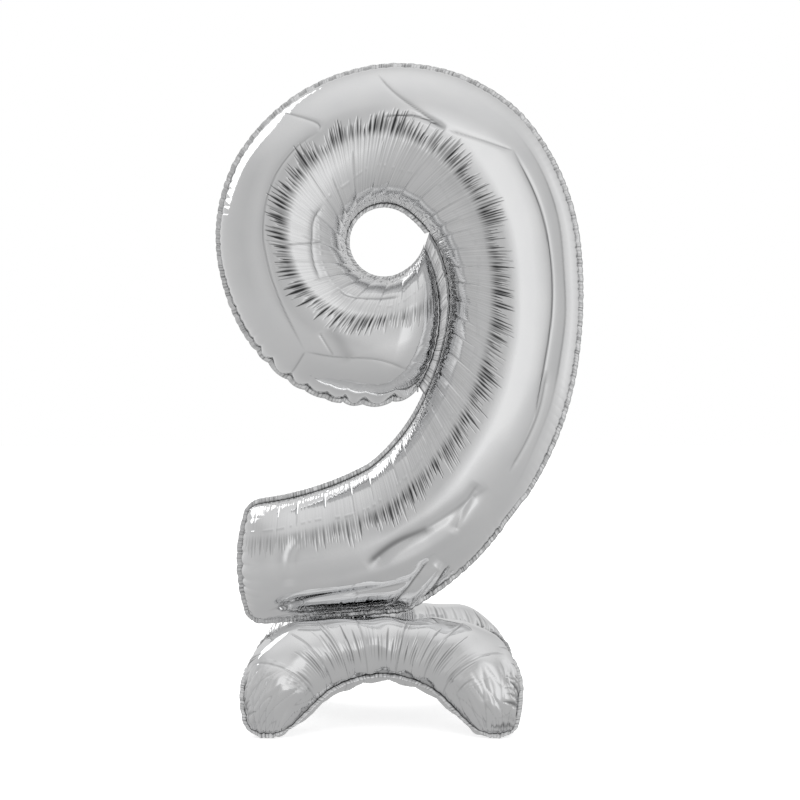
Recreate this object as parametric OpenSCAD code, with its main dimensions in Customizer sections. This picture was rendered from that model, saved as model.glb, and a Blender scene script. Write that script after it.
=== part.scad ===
// Free-standing air-filled foil number nine on an A-frame base of two arched feet.
// Millimetres, +Z up, front of the number faces -Y, floor at Z = 0.

/* [Overall] */
// Height of the whole object from the floor to the top flange
total_height = 737; // [400:1:1200]

/* [Number] */
// Thickness of the inflated number from front to rear
number_depth = 124; // [80:1:150]
// Width of the flat welded flange round the number
number_flange = 7; // [4:0.5:10]
// Diameter of the round hole in the bowl
hole_d = 78; // [60:1:90]
// Length over which the foot end of the stroke rounds off to its flange
foot_end_round = 62; // [30:1:90]
// Length over which the bowl end rounds off to its flange
bowl_end_round = 52; // [30:1:80]

/* [Base] */
// Height of the crest where the two feet are welded together
crest_z = 102.5; // [90:0.5:110]
// Tilt of the line from the crest to the toes, away from vertical
foot_tilt = 47; // [40:1:50]
// Height of the bow of each foot over that line
foot_bow = 16; // [6:1:18]
// Thickness of an inflated foot where it is widest
foot_depth = 93; // [60:1:96]
// Width of the flat welded flange round each foot
foot_flange = 6; // [4:0.5:8]
// Length over which a toe rounds off to its flange
toe_round = 36; // [20:1:44]

/* [Films] */
// Thickness of a film panel
film_t = 1; // [0.6:0.1:1.6]
// Thickness of the welded flanges
weld_t = 1; // [0.6:0.1:1.4]
// Thickness of the two films of an inflation valve
valve_t = 0.5; // [0.3:0.1:0.8]
// Width of a fill tab
tab_w = 22; // [14:1:30]
// Length of a fill tab
tab_l = 28; // [20:1:45]

/* [Hidden] */
$fn = 64;
drawn_height = 737;
k = total_height / drawn_height;
base_x = -20;
gap = 0.4;
seal_gap = 0.12;
hole_c = [-18.5, 535];
stem_steps = 7;
foot_steps = 5;
section_steps = 12;
foot_section_steps = 10;

function right_of(v) = [v[1], -v[0]] / norm(v);
function mix(a, b, t) = a + (b - a) * t;
function bow(a, b, sag, t) = mix(a, b, t) + right_of(b - a) * 4 * sag * t * (1 - t);
function hole_pt(a) = hole_c + hole_d / 2 * [cos(a), sin(a)];
function hole_sag(a) = hole_d / 2 * (1 - cos(a / 2));

// The stroke of the nine from its foot end to its bowl end, as stations across the stroke:
// inner edge, outer edge, bulge of the inner and outer edge up to the next station, bulge of the
// station line itself. Positive bulges are to the right of the way of travel.
nine = [
    [[-176, 233], [-175, 114], -3, 3, 10],
    [[-157, 246], [-156, 103], 6, 0, 4],
    [[-36, 285], [5, 116], 6.5, 8, 0],
    [[26, 366], [114, 208], 4, 13, 0],
    [[51, 462], [198.6, 383], 3, 4.5, 0],
    [[41, 520], [205, 523], 4.7, 15, 0],
    [hole_pt(58), [135, 684], hole_sag(67), 17, 0],
    [hole_pt(125), [-18.5, 737], hole_sag(62), 24, 0],
    [hole_pt(187), [-187, 630], hole_sag(43), 14, 0],
    [hole_pt(230), [-201.7, 488], hole_sag(32), 12, 0],
    [hole_pt(262), [-128.6, 377], hole_sag(34), 7, 0],
    [hole_pt(296), [-34, 348.3], 6, 5, -4],
    [[28, 538], [24.7, 368.5], 0, 0, -22]
];

// One foot in its own plane, measured across and up from the crest, as stations from toe to toe.
half_foot = [
    [[-104.5, -144], [-136, -144], 0, -3, -5],
    [[-90.5, -136], [-148, -129], 0, -5, -1],
    [[-59, -103.5], [-147.5, -65.5], -2, -17, 0],
    [[-24, -86], [-60, -7.5], -1, -1, 0]
];
foot_crown = [[0, -82], [0, -3], -1, -1, 0];

function flip_x(p) = [-p[0], p[1]];
function mirrored(a, i) = [
    flip_x(a[i][0]), flip_x(a[i][1]),
    i > 0 ? a[i - 1][2] : 0, i > 0 ? a[i - 1][3] : 0, -a[i][4]
];
foot = concat(
    half_foot,
    [[foot_crown[0], foot_crown[1], half_foot[3][2], half_foot[3][3], 0]],
    [for (i = [3 : -1 : 0]) mirrored(half_foot, i)]
);

// Points on a stroke: s counts stations, u runs from the inner edge (0) to the outer edge (1).
function seg(n, s) = min(floor(s), len(n) - 2);
function inner_edge(n, s) = let (i = seg(n, s)) bow(n[i][0], n[i + 1][0], n[i][2], s - i);
function outer_edge(n, s) = let (i = seg(n, s)) bow(n[i][1], n[i + 1][1], n[i][3], s - i);
function line_bow(n, s) = let (i = seg(n, s)) mix(n[i][4], n[i + 1][4], s - i);
function across(n, s, u) = bow(inner_edge(n, s), outer_edge(n, s), line_bow(n, s), u);
function width(n, s) = norm(outer_edge(n, s) - inner_edge(n, s));
function inset(n, s, d, u) = let (w = width(n, s)) across(n, s, d / w + u * (1 - 2 * d / w));
function span(n, s0, s1) = norm(across(n, s1, 0.5) - across(n, s0, 0.5));

// Station values of the weld line d inside the flange's edge, from the first to the last.
function first_s(n, d) = d / span(n, 0, 1);
function last_s(n, d) = len(n) - 1 - d / span(n, len(n) - 2, len(n) - 1);
function stations(n, d, steps) = let (a = first_s(n, d), b = last_s(n, d), c = (len(n) - 1) * steps)
    [for (i = [0 : c]) mix(a, b, i / c)];

// Height of the inflated film over the weld plane. It rounds off to nothing at both ends, and is
// less than h where the stroke is narrower than full, though not in proportion.
fuller = 30;
function end_cap(x) = x < 1 ? sqrt(max(0, 1 - (1 - x) * (1 - x))) : 1;
function swell(n, s, a, b, h, r0, r1, full) =
    h * min(1, (width(n, s) + fuller) / (full + fuller))
    * end_cap(span(n, a, s) / r0) * end_cap(span(n, s, b) / r1);

function film_grid(n, d, h, r0, r1, full, steps, m) =
    let (ss = stations(n, d, steps), a = ss[0], b = ss[len(ss) - 1])
    [for (s = ss) let (y = swell(n, s, a, b, h, r0, r1, full))
        for (j = [0 : m]) let (p = inset(n, s, d, (1 - cos(180 * j / m)) / 2))
            [p[0], y * sin(180 * j / m), p[1]]];

function rim_loop(rows, m) = concat(
    [for (j = [0 : m]) j],
    [for (i = [1 : rows - 1]) i * (m + 1) + m],
    [for (j = [m - 1 : -1 : 0]) (rows - 1) * (m + 1) + j],
    [for (i = [rows - 2 : -1 : 1]) i * (m + 1)]
);
function grid_faces(rows, m, start) = [
    for (i = [0 : rows - 2]) for (j = [0 : m - 1]) let (p = start + i * (m + 1) + j, q = p + m + 1)
        for (f = [[p, q, q + 1], [p, q + 1, p + 1]]) f
];
function back(f) = [f[2], f[1], f[0]];
function rim_faces(loop, start) = let (c = len(loop)) [
    for (i = [0 : c - 1]) let (a = loop[i], b = loop[(i + 1) % c])
        for (f = [[a, b, b + start], [a, b + start, a + start]]) f
];
function shell_faces(rows, m) = let (start = rows * (m + 1)) concat(
    [for (f = grid_faces(rows, m, 0)) back(f)],
    grid_faces(rows, m, start),
    [for (f = rim_faces(rim_loop(rows, m), start)) back(f)]
);

function thicken(n, d, h, r0, r1, full, steps, m) = concat(
    film_grid(n, d, h, r0, r1, full, steps, m),
    film_grid(n, d + film_t, h - film_t, r0, r1, full, steps, m)
);

// Number: the films bulge off both faces of the weld plane.
number_rows = (len(nine) - 1) * stem_steps + 1;
number_film = thicken(nine, number_flange - film_t, (number_depth - weld_t) / 2,
    foot_end_round, bowl_end_round, 1, stem_steps, section_steps);

module number_film_panel() {
    points = [for (p = number_film) [p[0], -weld_t / 2 - p[1], p[2]]];
    polyhedron(points, shell_faces(number_rows, section_steps));
}

module upright(t) {
    rotate([90, 0, 0])
        linear_extrude(t, center = true)
            children();
}

// Weld lines of the number, as paths in the upright plane.
notch_s = 3;
corner_s = 5.45;
seam_ss = stations(nine, number_flange, stem_steps);
edge_ss = [for (i = [0 : (len(nine) - 1) * stem_steps]) i / stem_steps];
last_seam = seam_ss[len(seam_ss) - 1];
first_seam = seam_ss[0];
cross_us = [for (j = [0 : section_steps]) j / section_steps];
function turned_list(a) = [for (i = [len(a) - 1 : -1 : 0]) a[i]];
function seam_in(s) = inset(nine, s, number_flange, 0);
function seam_out(s) = inset(nine, s, number_flange, 1);

module number_edge_weld_shape() {
    outline = concat(
        [for (s = turned_list(edge_ss)) if (s <= notch_s) inner_edge(nine, s)],
        [for (u = cross_us) across(nine, 0, u)],
        [for (s = edge_ss) if (s > 0) outer_edge(nine, s)]
    );
    seam = concat(
        [for (s = turned_list(seam_ss)) seam_out(s)],
        [for (u = turned_list(cross_us)) inset(nine, first_seam, number_flange, u)],
        [for (s = seam_ss) if (s > first_seam && s < notch_s) seam_in(s)],
        [seam_in(notch_s)]
    );
    polygon(concat(outline, seam));
}

module bowl_end_weld_shape() {
    polygon(concat(
        [for (s = seam_ss) if (s > notch_s && s < corner_s) seam_in(s)],
        [seam_in(corner_s), inner_edge(nine, corner_s)],
        [for (u = cross_us) inset(nine, last_seam, number_flange, u)],
        [across(nine, len(nine) - 1, 1), inner_edge(nine, notch_s), seam_in(notch_s)]
    ));
}

module hole_edge_weld_shape() {
    polygon(concat(
        [inner_edge(nine, corner_s)],
        [for (s = edge_ss) if (s > corner_s) inner_edge(nine, s)],
        [for (s = turned_list(seam_ss)) if (s > corner_s) seam_in(s)],
        [seam_in(corner_s)]
    ));
}

// Inflation valve of the number: two flat inner films from the weld towards the tube's middle.
valve_s = 3.12;
valve_dir = -right_of(outer_edge(nine, valve_s + 0.05) - outer_edge(nine, valve_s - 0.05));
valve_angle = atan2(valve_dir[1], valve_dir[0]);

module at_number_valve(d) {
    p = outer_edge(nine, valve_s) + valve_dir * d;
    translate([p[0], 0, p[1]])
        rotate([0, -valve_angle, 0])
            children();
}

module number_valve_film(side) {
    at_number_valve(number_flange + 2)
        translate([0, side > 0 ? 0.2 : -0.2 - valve_t, -tab_w / 2])
            cube([70, valve_t, tab_w]);
}

// Feet: drawn flat, then bowed and tilted about the crest, and pressed flat where they meet each
// other under the crest and where they meet the floor. The films start at the weld's inner line and
// stand seal_gap off it, so that their facets never cross its own.
foot_rows = (len(foot) - 1) * foot_steps + 1;
foot_ss = [for (i = [0 : foot_rows - 1]) i / foot_steps];
foot_film = thicken(foot, foot_flange, (foot_depth - weld_t) / 2, toe_round, toe_round,
    max([for (s = foot_ss) width(foot, s)]), foot_steps, foot_section_steps);
function bowed(z) = let (t = -z / 148) foot_bow * 4 * t * (1 - t) * (1.4 - 0.9 * t);
function tilted(p, low) = let (y = p[1] - bowed(p[2])) [
    base_x + p[0],
    min(-low - 0.3, y * cos(foot_tilt) + p[2] * sin(foot_tilt)),
    max(low, crest_z - y * sin(foot_tilt) + p[2] * cos(foot_tilt))
];

module foot_film_panel(side) {
    count = len(foot_film) / 2;
    points = [for (i = [0 : len(foot_film) - 1]) let (p = foot_film[i])
        tilted([p[0], side * (weld_t / 2 + seal_gap + p[1]), p[2]], i < count ? 0 : film_t)];
    polyhedron(points, shell_faces(foot_rows, foot_section_steps));
}

// Outline of a foot moved in by d, once round.
function foot_loop(d) =
    let (ss = d > 0 ? stations(foot, d, foot_steps) : foot_ss, last = ss[len(ss) - 1])
    let (us = [for (j = [1 : foot_section_steps - 1]) j / foot_section_steps])
    concat(
        [for (s = ss) inset(foot, s, d, 1)],
        [for (u = turned_list(us)) inset(foot, last, d, u)],
        [for (s = turned_list(ss)) inset(foot, s, d, 0)],
        [for (u = us) inset(foot, ss[0], d, u)]
    );

module foot_weld() {
    loops = [foot_loop(0), foot_loop(foot_flange)];
    c = len(loops[0]);
    points = [for (y = [-weld_t / 2, weld_t / 2]) for (loop = loops) for (p = loop)
        tilted([p[0], y, p[1]], 0)];
    rings = [[0, 1], [1, 3], [3, 2], [2, 0]];
    faces = [for (r = rings) for (i = [0 : c - 1]) let (j = (i + 1) % c, a = r[0] * c, b = r[1] * c)
        for (f = [[a + i, b + j, a + j], [a + i, b + i, b + j]]) f];
    polyhedron(points, faces);
}

// The base is filled through the side of the rear foot.
base_valve_p = outer_edge(foot, 6.8);
base_valve_lean = let (z = base_valve_p[1], a = tilted([0, 0, z - 1], 0), b = tilted([0, 0, z + 1], 0))
    atan2(b[1] - a[1], b[2] - a[2]);

module at_base_valve(d) {
    translate(tilted([base_valve_p[0] - d, 0, base_valve_p[1]], 0))
        rotate([-base_valve_lean, 0, 0])
            children();
}

module base_valve_film(side) {
    at_base_valve(foot_flange + 5)
        translate([-36, side > 0 ? 0.2 : -0.2 - valve_t, -tab_w / 2])
            cube([36, valve_t, tab_w]);
}

module rear() {
    mirror([0, 1, 0])
        children();
}

module foil() {
    color([0.78, 0.79, 0.8])
        children();
}

module weld() {
    color([0.62, 0.63, 0.65])
        children();
}

module clear_film() {
    color([0.9, 0.92, 0.93])
        children();
}

module number_front_film() {
    foil() scale(k) number_film_panel();
}

module number_rear_film() {
    foil() scale(k) rear() number_film_panel();
}

module number_edge_weld() {
    weld() scale(k) upright(weld_t) number_edge_weld_shape();
}

module bowl_end_weld() {
    weld() scale(k) upright(weld_t) bowl_end_weld_shape();
}

module hole_edge_weld() {
    weld() scale(k) upright(weld_t) hole_edge_weld_shape();
}

module number_valve_front_film() {
    clear_film() scale(k) number_valve_film(-1);
}

module number_valve_rear_film() {
    clear_film() scale(k) number_valve_film(1);
}

module number_fill_tab() {
    clear_film() scale(k) at_number_valve(2)
        translate([-0.5, weld_t / 2 + 0.9, -tab_w / 2])
            cube([1, tab_l, tab_w]);
}

// Webs of film that carry the number on the crest.
fin_z = crest_z + 3;

module join_web_left() {
    a = outer_edge(nine, 1.32);
    b = outer_edge(nine, 1.5);
    weld() scale(k) upright(weld_t)
        polygon([a, b, [b[0] - 1, fin_z + gap], [a[0] - 3, fin_z + gap]]);
}

module join_web_right() {
    a = outer_edge(nine, 1.94);
    b = outer_edge(nine, 2);
    c = outer_edge(nine, 2.07);
    weld() scale(k) upright(weld_t)
        polygon([a, b, c, [c[0] + 1, fin_z + gap], [a[0] - 3, fin_z + gap]]);
}

module crest_weld() {
    weld() scale(k)
        translate([base_x - 92, -weld_t / 2, crest_z + gap])
            cube([132, weld_t, fin_z - crest_z - gap]);
}

module front_foot_outer_film() {
    foil() scale(k) foot_film_panel(-1);
}

module front_foot_inner_film() {
    foil() scale(k) foot_film_panel(1);
}

module front_foot_edge_weld() {
    weld() scale(k) foot_weld();
}

module rear_foot_outer_film() {
    foil() scale(k) rear() foot_film_panel(-1);
}

module rear_foot_inner_film() {
    foil() scale(k) rear() foot_film_panel(1);
}

module rear_foot_edge_weld() {
    weld() scale(k) rear() foot_weld();
}

module base_valve_outer_film() {
    clear_film() scale(k) rear() base_valve_film(-1);
}

module base_valve_inner_film() {
    clear_film() scale(k) rear() base_valve_film(1);
}

module base_fill_tab() {
    clear_film() scale(k) rear() at_base_valve(3)
        translate([0, -weld_t / 2 - 0.9 - tab_l, -tab_w / 2])
            cube([1, tab_l, tab_w]);
}

number_front_film();
number_rear_film();
number_edge_weld();
bowl_end_weld();
hole_edge_weld();
number_valve_front_film();
number_valve_rear_film();
number_fill_tab();
join_web_left();
join_web_right();
crest_weld();
front_foot_outer_film();
front_foot_inner_film();
front_foot_edge_weld();
rear_foot_outer_film();
rear_foot_inner_film();
rear_foot_edge_weld();
base_valve_outer_film();
base_valve_inner_film();
base_fill_tab();
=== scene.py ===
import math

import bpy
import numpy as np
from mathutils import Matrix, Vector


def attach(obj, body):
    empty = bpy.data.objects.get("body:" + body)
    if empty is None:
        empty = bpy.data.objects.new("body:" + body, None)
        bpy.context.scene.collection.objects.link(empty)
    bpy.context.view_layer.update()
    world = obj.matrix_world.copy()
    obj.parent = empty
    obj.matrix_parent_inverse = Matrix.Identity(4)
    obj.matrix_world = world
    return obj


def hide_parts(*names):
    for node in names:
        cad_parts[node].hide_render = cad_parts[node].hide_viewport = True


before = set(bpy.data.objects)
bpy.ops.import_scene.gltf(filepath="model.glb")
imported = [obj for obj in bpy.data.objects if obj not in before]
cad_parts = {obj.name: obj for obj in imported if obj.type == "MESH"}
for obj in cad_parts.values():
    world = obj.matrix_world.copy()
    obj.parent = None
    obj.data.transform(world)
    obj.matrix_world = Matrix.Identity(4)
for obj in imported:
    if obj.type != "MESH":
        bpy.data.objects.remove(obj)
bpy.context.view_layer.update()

# A silver foil number nine that stands on two inflated feet. Every film is a mesh whose folds are real
# relief; the flanges, webs and crest seal are thin ribbons; the fill tabs and valves keep the CAD's shapes.
# Films and flanges also carry painted shade in their folds, creases and crimps, as a point attribute that the
# foil darkens by. Meshes are worked out in millimetres and make_mesh turns them into metres; lights and
# materials are in metres. The front faces -y.

MM = 0.001

# The hole, the base and the bow of a foot, as part.scad has them.
HOLE_C = np.array([-18.5, 535.0])
HOLE_R = 39.0
BASE_X = -20.0
CREST_Z = 102.5
FIN_Z = CREST_Z + 3
TILT = math.radians(47)
FOOT_BOW = 16
FOOT_DROP = 148
# Gap between the webs and the crest seal, and between a foot and the plane between the feet.
GAP = 0.4
FOOT_APART = 0.4

# The films stand off the weld plane, and the ribbon of a flange lies between them.
FILM_OFF = 0.25
RIBBON_T = 0.25
RIBBON_ROWS = 4
# Length of the film across a tube over the tube's flat width, near enough for the folds.
ARC = 1.5
# Samples of a stroke before it is made even, and steps across the end of a tube.
STROKE_SAMPLES = 6000
END_STEPS = 160

# The camera's distance and height, and the width that it sees at the number.
EYE_DISTANCE = 1566
EYE_Z = 356.5
SEEN_WIDTH = 904


def hole_pt(a):
    """The point of the hole's edge at angle a, in degrees."""
    return tuple(HOLE_C + HOLE_R * np.array([math.cos(math.radians(a)), math.sin(math.radians(a))]))


def hole_sag(a):
    """Bulge of the hole's edge over an arc of a degrees."""
    return HOLE_R * (1 - math.cos(math.radians(a / 2)))


# The strokes of the number and of half a foot, as part.scad has them: inner edge, outer edge, bulge of
# both up to the next station, bulge of the station line.
NINE = [
    ((-176, 233), (-175, 114), -3, 3, 10),
    ((-157, 246), (-156, 103), 6, 0, 4),
    ((-36, 285), (5, 116), 6.5, 8, 0),
    ((26, 366), (114, 208), 4, 13, 0),
    ((51, 462), (198.6, 383), 3, 4.5, 0),
    ((41, 520), (205, 523), 4.7, 15, 0),
    (hole_pt(58), (135, 684), hole_sag(67), 17, 0),
    (hole_pt(125), (-18.5, 737), hole_sag(62), 24, 0),
    (hole_pt(187), (-187, 630), hole_sag(43), 14, 0),
    (hole_pt(230), (-201.7, 488), hole_sag(32), 12, 0),
    (hole_pt(262), (-128.6, 377), hole_sag(34), 7, 0),
    (hole_pt(296), (-34, 348.3), 6, 5, -4),
    ((28, 538), (24.7, 368.5), 0, 0, -22),
]
HALF_FOOT = [
    ((-104.5, -144), (-136, -144), 0, -3, -5),
    ((-90.5, -136), (-148, -129), 0, -5, -1),
    ((-59, -103.5), (-147.5, -65.5), -2, -17, 0),
    ((-24, -86), (-60, -7.5), -1, -1, 0),
]


def flip(p):
    return (-p[0], p[1])


FOOT = HALF_FOOT + [((0, -82), (0, -3), -1, -1, 0)]
for i in (3, 2, 1, 0):
    inner, outer, _, _, line = HALF_FOOT[i]
    before = HALF_FOOT[i - 1] if i else (0, 0, 0, 0, 0)
    FOOT.append((flip(inner), flip(outer), before[2], before[3], -line))


def right_of(v):
    """Unit vectors to the right of the way of travel."""
    n = np.linalg.norm(v, axis=-1, keepdims=True)
    return np.stack([v[..., 1], -v[..., 0]], -1) / np.maximum(n, 1e-9)


def bow(a, b, sag, t):
    """Points from a to b on a shallow curve that bulges by sag."""
    t = t[..., None]
    return a + (b - a) * t + right_of(b - a) * (4 * sag[..., None] * t * (1 - t))


def smooth(values, reach):
    """Gaussian smoothing along the first axis that leaves the ends where they are."""
    if reach <= 0:
        return values
    k = int(reach * 3) + 1
    w = np.exp(-0.5 * (np.arange(-k, k + 1) / reach) ** 2)
    w /= w.sum()
    flat = values.reshape(len(values), -1)
    head = 2 * flat[:1] - flat[k:0:-1]
    tail = 2 * flat[-1:] - flat[-2:-k - 2:-1]
    padded = np.concatenate([head, flat, tail])
    out = np.stack([np.convolve(padded[:, c], w, "valid") for c in range(flat.shape[1])], -1)
    return out.reshape(values.shape)


def path_run(p):
    """Distance along a path at each of its points."""
    return np.concatenate([[0], np.cumsum(np.linalg.norm(np.diff(p, axis=0), axis=1))])


def ease(x, a, b):
    """Smooth rise from 0 at a to 1 at b."""
    t = np.clip((x - a) / (b - a), 0, 1)
    return t * t * (3 - 2 * t)


class Stroke:
    """A stroke with an inner and an outer edge, resampled so that its stations are even along it."""

    def __init__(self, rows, step, soft):
        self.inner = np.array([r[0] for r in rows], float)
        self.outer = np.array([r[1] for r in rows], float)
        self.sag_in = np.array([r[2] for r in rows], float)
        self.sag_out = np.array([r[3] for r in rows], float)
        self.line = np.array([r[4] for r in rows], float)
        self.count = len(rows)
        s = np.linspace(0, self.count - 1, STROKE_SAMPLES)
        middle = self.raw(s, 0.5 * np.ones_like(s))
        run = path_run(middle)
        n = int(run[-1] / step) + 1
        self.run = np.linspace(0, run[-1], n)
        self.s = np.interp(self.run, run, s)
        self.length = run[-1]
        self.a = smooth(self.edge(self.s, 0), soft / step)
        self.b = smooth(self.edge(self.s, 1), soft / step)
        self.bend = np.interp(self.s, np.arange(self.count), self.line)

    def edge(self, s, side):
        i = np.clip(np.floor(s).astype(int), 0, self.count - 2)
        t = s - i
        if side:
            return bow(self.outer[i], self.outer[i + 1], self.sag_out[i], t)
        return bow(self.inner[i], self.inner[i + 1], self.sag_in[i], t)

    def raw(self, s, u):
        """Points at station s, u across, before smoothing."""
        bend = np.interp(s, np.arange(self.count), self.line)
        return bow(self.edge(s, 0), self.edge(s, 1), bend, u)

    def at(self, run, u):
        """Points at distance run along the stroke and u across it."""
        a = np.stack([np.interp(run, self.run, self.a[:, c]) for c in (0, 1)], -1)
        b = np.stack([np.interp(run, self.run, self.b[:, c]) for c in (0, 1)], -1)
        return bow(a, b, np.interp(run, self.run, self.bend), u)


nine = Stroke(NINE, 0.7, 5)
foot = Stroke(FOOT, 0.7, 4)


# ---------------------------------------------------------------- patterns of the film
class Cells:
    """Uneven cells along a line, each with its own random values."""

    def __init__(self, length, mean, jitter, seed):
        r = np.random.default_rng(seed)
        pitch = mean if callable(mean) else lambda x: mean
        edges = [-2 * pitch(0) * r.uniform(0.2, 0.8)]
        while edges[-1] < length + 30:
            edges.append(edges[-1] + pitch(edges[-1]) * (1 + jitter * r.uniform(-1, 1)))
        self.edges = np.array(edges)
        self.r = r

    def find(self, x):
        """Which cell x is in, how far through it, and how long it is."""
        i = np.clip(np.searchsorted(self.edges, x, "right") - 1, 0, len(self.edges) - 2)
        lo, hi = self.edges[i], self.edges[i + 1]
        return i, (x - lo) / (hi - lo), hi - lo

    def random(self, low, high):
        return self.r.uniform(low, high, len(self.edges) + 1)


def pleats(x, cells, end, a, taper, width):
    """V shapes on the cell edges of x that narrow to a point at their own end across the film (a)."""
    i, f, gap = cells.find(x)
    near = i + (f > 0.5)
    dist = np.minimum(f, 1 - f) * gap
    left = end[near][:, None] - a
    w = width * gap[:, None] * np.clip(left / taper, 0, 1) + 1e-4
    return np.clip(1 - dist[:, None] / w, 0, 1) * (left > 0), near


def puffs(x, cells, height, power):
    """Rounded swellings between the cell edges."""
    i, f, _ = cells.find(x)
    return height[i] * np.abs(np.sin(np.pi * f)) ** power


def wander(x, scale, seed, count=7):
    """Smooth, slow, seeded waviness, mostly between -1 and 1."""
    r = np.random.default_rng(seed)
    out = np.zeros_like(x, dtype=float)
    for _ in range(count):
        turns = x / scale * r.uniform(0.5, 1.6)
        out += math.sqrt(1 / count) * np.sin(turns * 2 * math.pi + r.uniform(0, 6.28))
    return out


def wander2(p, scale, seed, count=14):
    """The same over a surface."""
    r = np.random.default_rng(seed)
    out = np.zeros(p.shape[:-1])
    for _ in range(count):
        d = r.normal(size=p.shape[-1])
        d /= np.linalg.norm(d)
        turns = (p @ d) / scale * r.uniform(0.6, 1.5)
        out += math.sqrt(1 / count) * np.sin(turns * 2 * math.pi + r.uniform(0, 6.28))
    return out


def rounded(line):
    """A polyline with its corners cut twice."""
    p = np.array(line, float)
    for _ in range(2):
        q = 0.75 * p[:-1] + 0.25 * p[1:]
        r = 0.25 * p[:-1] + 0.75 * p[1:]
        p = np.concatenate([p[:1], np.stack([q, r], 1).reshape(-1, 2)[1:-1], p[-1:]])
    return p


def along(seen, line, reach):
    """Distance of each point from a line, and how far along the line it is."""
    line = rounded(line)
    near = np.full(seen.shape[:2], 1e3)
    far = np.zeros(seen.shape[:2])
    low, high = line.min(0) - reach, line.max(0) + reach
    ok = ((seen > low) & (seen < high)).all(-1)
    p = seen[ok]
    best, fr = np.full(len(p), 1e3), np.zeros(len(p))
    steps = np.linalg.norm(np.diff(line, axis=0), axis=1)
    run = path_run(line)
    for q, d, length, start in zip(line[:-1], np.diff(line, axis=0), steps, run):
        k = np.clip((p - q) @ d / length ** 2, 0, 1)
        r = p - q - k[:, None] * d
        dist = np.linalg.norm(r, axis=1)
        closer = dist < best
        best = np.where(closer, dist, best)
        fr = np.where(closer, (start + k * length) / run[-1], fr)
    near[ok], far[ok] = best, fr
    return near, far


# ---------------------------------------------------------------- mesh helpers
def make_mesh(name, points, quads, uv=None, fold=None):
    """A smooth mesh object, with the painted shade of its folds, creases and welds as a point attribute named
    fold.
    """
    mesh = bpy.data.meshes.new(name)
    mesh.from_pydata((np.asarray(points) * MM).tolist(), [], quads.tolist())
    mesh.update()
    mesh.polygons.foreach_set("use_smooth", np.ones(len(mesh.polygons), bool))
    if fold is not None:
        painted_shade = mesh.attributes.new("fold", "FLOAT", "POINT")
        painted_shade.data.foreach_set("value", np.asarray(fold, np.float32).ravel())
    if uv is not None:
        layer = mesh.uv_layers.new(name="film")
        loops = np.zeros(len(mesh.loops), int)
        mesh.loops.foreach_get("vertex_index", loops)
        layer.data.foreach_set("uv", np.asarray(uv, float)[loops].ravel())
    obj = bpy.data.objects.new(name, mesh)
    bpy.context.scene.collection.objects.link(obj)
    return obj


def grid_quads(n, m, turned=False, start=0):
    i, j = np.meshgrid(np.arange(n - 1), np.arange(m - 1), indexing="ij")
    p = (start + i * m + j).ravel()
    q = np.stack([p, p + m, p + m + 1, p + 1], -1)
    return q[:, ::-1] if turned else q


def normals_of(p):
    n = np.cross(np.gradient(p, axis=0), np.gradient(p, axis=1))
    return n / np.maximum(np.linalg.norm(n, axis=-1, keepdims=True), 1e-9)


def end_cap(x):
    """A quarter circle from 0 at x = 0 to 1 at x = 1."""
    x = np.clip(x, 0, 1)
    return np.sqrt(np.maximum(0, 1 - (1 - x) ** 2))


def two_sided(n, m):
    """Faces of a thin band with n by m points on each side, closed along its edges and ends."""
    off = n * m
    quads = [grid_quads(n, m, True), grid_quads(n, m, False, off)]
    for j in (0, m - 1):
        a = np.arange(n - 1) * m + j
        q = np.stack([a, a + m, a + m + off, a + off], -1)
        quads.append(q[:, ::-1] if j else q)
    for i in (0, n - 1):
        a = i * m + np.arange(m - 1)
        q = np.stack([a, a + 1, a + 1 + off, a + off], -1)
        quads.append(q if i else q[:, ::-1])
    return np.concatenate(quads)


# ---------------------------------------------------------------- inflated films
# How far the weld reaches in where a fill tab leaves it.
TAB_WELD = 2.2


class Seam:
    """How the weld line wanders: in the plane (towards the film) and out of it, along its length."""

    def __init__(self, length, pitch, depth, lift, seed, tab=None):
        self.cells = Cells(length, pitch, 0.3, seed)
        self.depth = depth * self.cells.random(0.5, 1.3)
        odd = np.arange(len(self.cells.edges) + 1) % 2
        self.sign = np.where(odd, 1.0, -1.0) * self.cells.random(0.2, 1.0)
        self.lift = lift
        self.tab = tab

    def calm(self, x):
        """0 where a fill tab leaves the flange, and the weld is flat and wide; 1 away from it."""
        return 1 if self.tab is None else ease(np.abs(x - self.tab), 14, 24)

    def inward(self, x):
        i, f, _ = self.cells.find(x)
        calm = self.calm(x)
        return self.depth[i] * (1 - np.abs(np.sin(np.pi * f)) ** 0.8) * calm + TAB_WELD * (1 - calm)

    def out(self, x):
        i, f, _ = self.cells.find(x)
        return self.lift * self.sign[i] * np.sin(np.pi * f) ** 2 * self.calm(x)


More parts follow.
